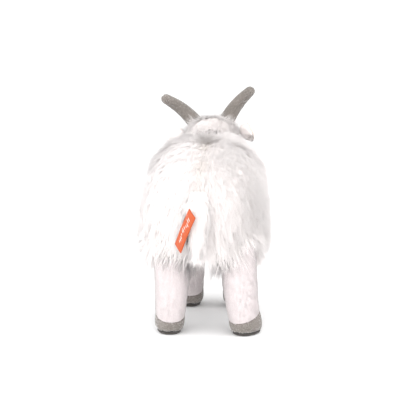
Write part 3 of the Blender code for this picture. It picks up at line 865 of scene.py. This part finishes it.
hornPile = dict(hoofPile, density=150, lockTurn=0.25, length=0.0021, droop=0.0)
for side in sides:
    body = f"horn_{side}"
    skin = skins[body]
    root = np.array(jointAt(f"{body}_bend")["pos_m"])
    tip = farthestFrom(skin, root)

    def combHorn(roots, out, root=root, tip=tip):
        return evenly(roots, tip - root, hornPile)

    finished(skin, backingLooks["grey"], body)
    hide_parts(*limbs[body]["parts"])
    pile = growPile(f"hornPile_{side}", skin, hornPile, combHorn, 60 + sides[side])
    finished(pile, pileLooks["grey"], body)

# Ears: a furred back and a peach lining

earPile = dict(legPile, density=100, thick=0.0003, length=0.0048, lift=0.45, droop=0.1)
liningPile = dict(earPile, density=90, length=0.0018)
for index, side in enumerate(sides):
    body = f"ear_{side}"
    root = np.array(jointAt(f"{body}_fold")["pos_m"])
    for layer, pileValues, look, backing, slotName in (
        ("outer", earPile, "long", "white", "long_pile_fur"),
        ("lining", liningPile, "peach", "peach", "ear_lining"),
    ):
        node = f"ear_{side}_{layer}"
        skin = joinNodes(f"ear_{side}_{layer}Skin", [node])
        relaxed(remeshed(skin, 0.0009), 2)
        tip = farthestFrom(skin, root)

        def combEar(roots, out, root=root, tip=tip, pile=pileValues):
            return evenly(roots, tip - root, pile)

        finished(skin, backingLooks[backing], body)
        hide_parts(node)
        pile = growPile(f"ear_{side}_{layer}Pile", skin, pileValues, combEar, 70 + index)
        finished(pile, pileLooks[look], body)

# Tail and beard

tailPile = dict(coat, density=85, perLock=18)
tail = {
    "length": 0.018,
    "rootMore": 0.006,
    "root": 0.016,
    "narrow": 0.5,
    "inward": 0.009,
    "lower": 0.003,
    "roundness": 60,
}


def combTail(roots, out):
    # The hair stands out round the root and hangs over it
    way = np.tile((0.0, 0.12, -1.0), (len(roots), 1))
    high = ramp(roots[:, 2], tailRoot[2] - tail["root"], tailRoot[2] - 0.002)
    way[:, 0] = np.sign(roots[:, 0] - tailRoot[0]) * 0.35 * high
    return way, tail["length"] + tail["rootMore"] * high, 0.35 + 0.65 * high, 0.4 + 0.5 * high


skin = skins["tail"]
points = pointsOf(skin.data)
nearRoot = ramp(points[:, 2], tailRoot[2] - tail["root"], tailRoot[2] + 0.001)
aside = points[:, 0] - points[:, 0].mean()
points[:, 0] -= aside * tail["narrow"] * nearRoot    # the root narrows and sinks into the coat
points[:, 1] -= tail["inward"] * nearRoot
points[:, 2] -= (tail["lower"] + tail["roundness"] * aside**2) * nearRoot
setPoints(skin.data, points)
finished(skin, backingLooks["white"], "tail")
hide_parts("tail_fur")
finished(growPile("tailPile", skin, tailPile, combTail, 80), pileLooks["long"], "tail")
lining = joinNodes("tailLiningSkin", ["tail_lining"])
relaxed(remeshed(lining, 0.0010), 2)
finished(lining, backingLooks["white"], "tail")
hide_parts("tail_lining")

beardPile = dict(coat, density=230, perLock=9, thick=0.00030, uneven=0.5, gather=0.1)
beardPile.update(length=0.014, lift=0.45, droop=0.7)


def combBeard(roots, out):
    return evenly(roots, (0.0, 0.1, -1.0), beardPile)


beardSkin = joinNodes("beardSkin", ["beard"])
shrunk(relaxed(remeshed(beardSkin, 0.0012), 3), 0.0015)
finished(beardSkin, backingLooks["white"], "head")
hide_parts("beard")
beardHair = growPile("beardPile", beardSkin, beardPile, combBeard, 81)
finished(beardHair, pileLooks["long"], "head")


# Plastic, thread and ribbon: hard and flat pieces laid on the skins

def glossyPlastic(name, colour, roughness, coatWeight):
    material, tree, shader = newMaterial(name, roughness, 0.5)
    place = addNode(tree, "ShaderNodeTexCoord").outputs["Object"]
    cloudy = addNode(tree, "ShaderNodeTexNoise", Vector=place, Scale=400.0, Detail=3.0)
    darker = tuple(value * 0.6 for value in colour)
    shade = colourSteps(tree, cloudy.outputs["Fac"], ((0.3, darker), (0.7, colour)))
    tree.links.new(shade, shader.inputs["Base Color"])
    shader.inputs["Coat Weight"].default_value = coatWeight
    shader.inputs["Coat Roughness"].default_value = 0.04
    rubbed = addNode(tree, "ShaderNodeMapRange", Value=cloudy.outputs["Fac"])
    rubbed.inputs["To Min"].default_value = roughness * 0.8
    rubbed.inputs["To Max"].default_value = roughness * 1.3
    tree.links.new(rubbed.outputs[0], shader.inputs["Roughness"])
    return material


def threadMaterial(name, colour, roughness, twist):
    # Fine strands twisted together, with a soft lustre
    material, tree, shader = newMaterial(name, roughness, 0.5, 0.3)
    place = addNode(tree, "ShaderNodeTexCoord").outputs["Object"]
    ply = addNode(tree, "ShaderNodeTexWave", Vector=place, Scale=twist, Distortion=2.0, Detail=2.0)
    darker = tuple(value * 0.7 for value in colour)
    shade = colourSteps(tree, ply.outputs["Fac"], ((0.2, darker), (0.8, colour)))
    tree.links.new(shade, shader.inputs["Base Color"])
    bump = addNode(tree, "ShaderNodeBump", Height=ply.outputs["Fac"], Strength=0.4, Distance=0.0001)
    tree.links.new(bump.outputs[0], shader.inputs["Normal"])
    return material


def turnedPiece(name, place, axis, profile, count=48):
    # A closed shape turned about the axis through place, from (radius, height) points
    shape = bmesh.new()
    facing = Vector(axis).to_track_quat("Z", "Y").to_matrix().to_4x4()
    facing.translation = Vector(place)
    loops = []
    for radius, height in profile:
        if radius < 1e-6:
            loops.append([shape.verts.new(facing @ Vector((0, 0, height)))])
            continue
        ring = []
        for step in range(count):
            angle = 2 * math.pi * step / count
            spot = Vector((radius * math.cos(angle), radius * math.sin(angle), height))
            ring.append(shape.verts.new(facing @ spot))
        loops.append(ring)
    for one, two in zip(loops, loops[1:]):
        for step in range(count):
            after = (step + 1) % count
            corners = [one[step % len(one)], one[after % len(one)]]
            corners += [two[after % len(two)], two[step % len(two)]]
            shape.faces.new(list(dict.fromkeys(corners)))
    bmesh.ops.recalc_face_normals(shape, faces=shape.faces)
    return addPiece(name, shape)


def threadTube(shape, line, radius, sides=6):
    # One laid thread along the points of line, tapered into the cloth at both ends
    line = [Vector(point) for point in line]
    rings = []
    for index, point in enumerate(line):
        before, after = line[max(index - 1, 0)], line[min(index + 1, len(line) - 1)]
        way = (after - before).normalized()
        side = way.orthogonal().normalized()
        up = way.cross(side)
        size = radius * (0.35 if index in (0, len(line) - 1) else 1)
        ring = []
        for step in range(sides):
            angle = 2 * math.pi * step / sides
            ring.append(shape.verts.new(point + (side * math.cos(angle) + up * math.sin(angle)) * size))
        rings.append(ring)
    for one, two in zip(rings, rings[1:]):
        for step in range(sides):
            after = (step + 1) % sides
            shape.faces.new((one[step], one[after], two[after], two[step]))
    shape.faces.new(rings[0][::-1])
    shape.faces.new(rings[-1])


# Safety eyes: a turned dome each

eye = {
    "radius": 0.0053,
    "height": 0.0044,
    "back": 0.0004,
    "rim": 0.9,
    "endDepth": 0.0008,
    "steps": 9,
    "colour": (0.012, 0.009, 0.008),
    "washerColour": (0.75, 0.74, 0.72),
}
eyePlastic = glossyPlastic("eyePlastic", eye["colour"], 0.12, 1.0)
washerPlastic = glossyPlastic("washerPlastic", eye["washerColour"], 0.45, 0.0)
for side in sides:
    washer = pointsOf(nodes[f"eye_washer_{side}"].data).mean(axis=0)
    points = pointsOf(nodes[f"eye_{side}"].data)
    outer = points[:, 0] * sides[side]
    crownEnd = points[outer > outer.max() - eye["endDepth"]].mean(axis=0)
    shankEnd = points[outer < outer.min() + eye["endDepth"]].mean(axis=0)
    axis = unit(crownEnd - shankEnd)
    crown = (points @ axis).max() - washer @ axis
    base = Vector(washer + axis * (crown - eye["height"]))
    dome = [(0, -eye["back"]), (eye["radius"] * eye["rim"], -eye["back"]), (eye["radius"], 0.0)]
    for step in range(1, eye["steps"]):
        angle = math.pi / 2 * step / eye["steps"]
        dome.append((eye["radius"] * math.cos(angle), eye["height"] * math.sin(angle)))
    dome.append((0, eye["height"]))
    piece = turnedPiece(f"eyeDome_{side}", base, axis, dome)
    finished(piece, eyePlastic, "head")
    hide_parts(f"eye_{side}")
    paint(nodes[f"eye_washer_{side}"], washerPlastic)

# Satin stitches over the nose and mouth

satin = {
    "thread": 0.00033,
    "pitch": 0.00050,
    "stand": 0.0002,
    "tuck": 0.0006,
    "samples": 40,
    "bends": 8,
    "colour": (0.030, 0.024, 0.022),
}
satinThread = threadMaterial("satinThread", satin["colour"], 0.45, 900.0)


def laidThreads(name, node, upright):
    # Threads laid side by side over the node's shape, each from edge to edge
    mesh = nodes[node].data
    shell = treeOf(mesh)
    low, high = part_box(node)
    shape = bmesh.new()
    along, across = (2, 0) if upright else (0, 2)
    place = low[across] + satin["pitch"] / 2
    while place < high[across]:
        hits = []
        for share in np.linspace(0, 1, satin["samples"]):
            spot = Vector((0, low.y - 0.01, 0))
            spot[across] = place
            spot[along] = low[along] + (high[along] - low[along]) * share
            found = shell.ray_cast(spot, Vector((0, 1, 0)))[0]
            if found is not None:
                hits.append(found)
        if len(hits) >= 3:
            count = min(len(hits), satin["bends"])
            picked = [hits[round(step * (len(hits) - 1) / (count - 1))] for step in range(count)]
            line = [point - Vector((0, satin["stand"], 0)) for point in picked]
            line[0] = line[0] + Vector((0, satin["tuck"], 0))
            line[-1] = line[-1] + Vector((0, satin["tuck"], 0))
            threadTube(shape, line, satin["thread"])
        place += satin["pitch"]
    return addPiece(name, shape)


for name, node, upright in (("noseSatin", "nose_patch", True), ("mouthSatin", "mouth_stitch", False)):
    piece = laidThreads(name, node, upright)
    finished(piece, satinThread, "head")
    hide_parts(node)

# Pale stitches round each hoof, just above the sole: a real seam, whose pale colour is partly the thread's
# own and partly a painted highlight for its glints

stitch = {
    "length": 0.0017,
    "pitch": 0.0029,
    "thread": 0.00026,
    "height": 0.0046,
    "stand": 0.0009,
    "tuck": 0.0006,
    "lean": 0.18,
    "steps": 160,
    # pale: partly the thread's own colour, partly a painted highlight
    "colour": (0.62, 0.59, 0.56),
}
hoofThreadWithPaintedGlint = threadMaterial("hoofThreadWithPaintedGlint", stitch["colour"], 0.4, 1200.0)
for index, name in enumerate(legNames):
    draw = np.random.default_rng(90 + index)
    wall = bpy.data.objects[f"hoofSkin_{name}"]
    shell = treeOf(wall.data)
    low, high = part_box(f"hoof_{name}_sole")
    middle = (low + high) / 2
    middle.z = stitch["height"]
    rim = []
    for step in range(stitch["steps"]):
        angle = 2 * math.pi * step / stitch["steps"]
        way = Vector((math.cos(angle), math.sin(angle), 0))
        found = shell.ray_cast(middle + way * 0.05, -way)[0]
        if found is not None:
            rim.append(found + way * stitch["stand"])
    shape = bmesh.new()
    since = stitch["pitch"]
    for one, two in zip(rim, rim[1:] + rim[:1]):
        step = (two - one).length
        since += step
        if since < stitch["pitch"] or step < 1e-6:
            continue
        since = 0.0
        way = (two - one).normalized() + Vector((0, 0, draw.normal(0, stitch["lean"])))
        half = way.normalized() * stitch["length"] / 2
        inward = (middle - one).normalized() * stitch["tuck"]
        line = [one - half + inward, one - half * 0.5, one + half * 0.5, one + half + inward]
        threadTube(shape, line, stitch["thread"], 5)
    piece = addPiece(f"hoofStitches_{name}", shape)
    finished(piece, hoofThreadWithPaintedGlint, f"leg_{name}")

# The label: one ribbon folded into a loop, with loose stitches on its front

label = {
    "width": 0.015,
    "thick": 0.00025,
    "gap": 0.00055,
    "bow": 0.0006,
    "cup": 0.0004,
    "sewnIn": 0.0006,
    "rows": 120,
    "columns": 10,
    "colour": (0.56, 0.088, 0.014),
    "faded": 0.82,
}
mark = {
    "count": 11,
    "first": 0.009,
    "pitch": 0.0031,
    "thread": 0.00042,
    "shortest": 0.0010,
    "longest": 0.0030,
    "slant": 0.0007,
    "tuck": 0.0002,
    "colour": (0.92, 0.80, 0.76),
}


def ribbonMaterial():
    # Woven satin ribbon: fine ribs both ways, and a little faded in patches
    material, tree, shader = newMaterial("labelRibbon", 0.5, 0.3, 0.05)
    along = addNode(tree, "ShaderNodeAttribute", {"attribute_name": "along"}).outputs["Fac"]
    across = addNode(tree, "ShaderNodeAttribute", {"attribute_name": "across"}).outputs["Fac"]
    spot = addNode(tree, "ShaderNodeCombineXYZ")
    tree.links.new(along, spot.inputs[0])
    tree.links.new(across, spot.inputs[1])
    ribs = addNode(tree, "ShaderNodeTexWave", Vector=spot.outputs[0], Scale=900.0, Distortion=0.3)
    upright = {"bands_direction": "Y"}
    weft = addNode(tree, "ShaderNodeTexWave", upright, Vector=spot.outputs[0], Scale=900.0)
    weave = mixColours(tree, 0.5, ribs.outputs["Color"], weft.outputs["Color"])
    faded = addNode(tree, "ShaderNodeTexNoise", Vector=spot.outputs[0], Scale=160.0, Detail=4.0)
    colour = label["colour"]
    tones = ((0.25, tuple(value * label["faded"] for value in colour)), (0.75, colour))
    cloth = colourSteps(tree, faded.outputs["Fac"], tones)
    cloth = mixColours(tree, 0.18, cloth, weave, "MULTIPLY")
    tree.links.new(cloth, shader.inputs["Base Color"])
    bump = addNode(tree, "ShaderNodeBump", Strength=0.5, Distance=0.0001)
    tree.links.new(weave, bump.inputs["Height"])
    tree.links.new(bump.outputs[0], shader.inputs["Normal"])
    return material


flap = jointAt("label_flap")
labelPoints = pointsOf(nodes["label"].data)
hinge = Vector(flap["pos_m"])
acrossWay = -Vector(flap["axis"]).normalized()
downWay = Vector(labelPoints.mean(axis=0)) - hinge
downWay = (downWay - acrossWay * downWay.dot(acrossWay)).normalized()
outWay = acrossWay.cross(downWay).normalized()
if outWay.y < 0:
    outWay.negate()
reach = ((labelPoints - np.array(hinge)) @ np.array(downWay)).max() - label["sewnIn"]
spread = (labelPoints - np.array(hinge)) @ np.array(acrossWay)
centre = (spread.max() + spread.min()) / 2
level = np.median((labelPoints - np.array(hinge)) @ np.array(outWay))
turnRadius = label["gap"] / 2
ribbonLength = 2 * reach + math.pi * turnRadius - 0.001


def ribbonSpot(distance):
    # Down the front, round the fold, and back up behind
    straight = (ribbonLength - math.pi * turnRadius) / 2
    if distance < straight:
        down, out = distance + label["sewnIn"], turnRadius
    elif distance < straight + math.pi * turnRadius:
        angle = (distance - straight) / turnRadius
        down = straight + label["sewnIn"] + math.sin(angle) * turnRadius
        out = math.cos(angle) * turnRadius
    else:
        down = 2 * straight + math.pi * turnRadius - distance + label["sewnIn"]
        out = -turnRadius
    bow = label["bow"] * math.sin(math.pi * min(1, down / reach))
    return down, out + bow


def buildRibbon():
    shape = bmesh.new()
    rows, columns = label["rows"], label["columns"]
    grids = []
    for layer in (1, -1):
        grid = []
        for row in range(rows + 1):
            distance = ribbonLength * row / rows
            down, out = ribbonSpot(distance)
            near = ribbonSpot(max(distance - 1e-4, 0))
            far = ribbonSpot(min(distance + 1e-4, ribbonLength))
            slope = Vector((far[0] - near[0], far[1] - near[1])).normalized()
            normal = downWay * -slope.y + outWay * slope.x
            line = []
            for column in range(columns + 1):
                side = (column / columns - 0.5) * label["width"]
                cup = label["cup"] * (2 * side / label["width"]) ** 2
                spot = hinge + acrossWay * (centre + side) + downWay * down
                spot = spot + outWay * (level + out - cup)
                line.append(shape.verts.new(spot + normal * layer * label["thick"] / 2))
            grid.append(line)
        grids.append(grid)
    front, back = grids
    for row in range(rows):
        for column in range(columns):
            for side in (front, back):
                one, two = side[row], side[row + 1]
                shape.faces.new((one[column], one[column + 1], two[column + 1], two[column]))
        for column in (0, columns):
            one, two = front[row][column], front[row + 1][column]
            shape.faces.new((one, two, back[row + 1][column], back[row][column]))
    for row in (0, rows):
        for column in range(columns):
            one, two = front[row], back[row]
            shape.faces.new((one[column], two[column], two[column + 1], one[column + 1]))
    bmesh.ops.recalc_face_normals(shape, faces=shape.faces)
    along = np.tile(np.repeat(np.linspace(0, ribbonLength, rows + 1), columns + 1), 2)
    across = np.tile(np.linspace(0, label["width"], columns + 1), 2 * (rows + 1))
    piece = addPiece("labelRibbon", shape)
    for layerName, values in (("along", along), ("across", across)):
        layer = piece.data.attributes.new(layerName, "FLOAT", "POINT")
        layer.data.foreach_set("value", values)
    return piece


ribbon = buildRibbon()
finished(ribbon, ribbonMaterial(), "label")
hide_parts("label")
marks = bmesh.new()
drawMarks = np.random.default_rng(7)
for step in range(mark["count"]):
    down = mark["first"] + step * mark["pitch"] + drawMarks.normal(0, 0.0004)
    bow = label["bow"] * math.sin(math.pi * down / reach)
    middle = hinge + acrossWay * (centre + drawMarks.normal(0, 0.0011)) + downWay * down
    middle = middle + outWay * (level + turnRadius + bow + label["thick"] / 2)
    half = acrossWay * drawMarks.uniform(mark["shortest"], mark["longest"]) + downWay * mark["slant"]
    dip = outWay * mark["tuck"]
    line = [middle - half - dip, middle - half * 0.6, middle + half * 0.6, middle + half - dip]
    threadTube(marks, line, mark["thread"], 5)
marksPiece = addPiece("labelStitches", marks)
finished(marksPiece, threadMaterial("labelThread", mark["colour"], 0.5, 1000.0), "label")
print("small pieces made", flush=True)


# Camera, floor and light

camera = {
    "azimuth": 184.5,
    "elevation": 9.0,
    "distance": 1.227,
    "lens": 102.0,
    "aim": (0.0015, 0.089, 0.1472),
}
turn, rise = math.radians(camera["azimuth"]), math.radians(camera["elevation"])
back = Vector((math.sin(turn) * math.cos(rise), -math.cos(turn) * math.cos(rise), math.sin(rise)))
lens = bpy.data.cameras.new("camera")
lens.lens = camera["lens"]
lens.sensor_width = 36
lens.clip_start = 0.05
lens.clip_end = 20
viewer = bpy.data.objects.new("camera", lens)
viewer.location = Vector(camera["aim"]) + back * camera["distance"]
viewer.rotation_mode = "QUATERNION"
viewer.rotation_quaternion = (-back).to_track_quat("-Z", "Y")
bpy.context.collection.objects.link(viewer)
bpy.context.scene.camera = viewer

studio = {
    "floorSize": 6.0,
    "floorColour": (0.93, 0.93, 0.93),
    "sky": 1.15,
    "keyPower": 36.0,
    "keyPlace": (0.15, 2.4, 0.85),
    "keySize": 2.2,
    "fillPower": 16.0,
    "fillPlaces": ((-1.7, 0.9, 0.45), (1.7, 0.9, 0.45)),
    "topPower": 17.0,
    "topPlace": (0.0, 0.6, 2.0),
}
floorShape = bmesh.new()
bmesh.ops.create_grid(floorShape, x_segments=1, y_segments=1, size=studio["floorSize"] / 2)
floor = addPiece("floor", floorShape, False)
floorLook, floorTree, floorShader = newMaterial("paleFloor", 0.9, 0.1)
floorShader.inputs["Base Color"].default_value = (*studio["floorColour"], 1)
paint(floor, floorLook)
world = bpy.data.worlds.new("softRoom")
world.use_nodes = True
world.node_tree.nodes["Background"].inputs[0].default_value = (1, 1, 1, 1)
world.node_tree.nodes["Background"].inputs[1].default_value = studio["sky"]
bpy.context.scene.world = world
for name, power, place, size in (
    ("keyLight", studio["keyPower"], studio["keyPlace"], studio["keySize"]),
    ("fillLightRight", studio["fillPower"], studio["fillPlaces"][0], studio["keySize"]),
    ("fillLightLeft", studio["fillPower"], studio["fillPlaces"][1], studio["keySize"]),
    ("topLight", studio["topPower"], studio["topPlace"], studio["keySize"]),
):
    light = bpy.data.lights.new(name, "AREA")
    light.energy = power
    light.size = size
    lamp = bpy.data.objects.new(name, light)
    lamp.location = place
    lamp.rotation_euler = (Vector((0, 0, 0.12)) - Vector(place)).to_track_quat("-Z", "Y").to_euler()
    bpy.context.collection.objects.link(lamp)
bpy.context.scene.view_settings.view_transform = "Standard"
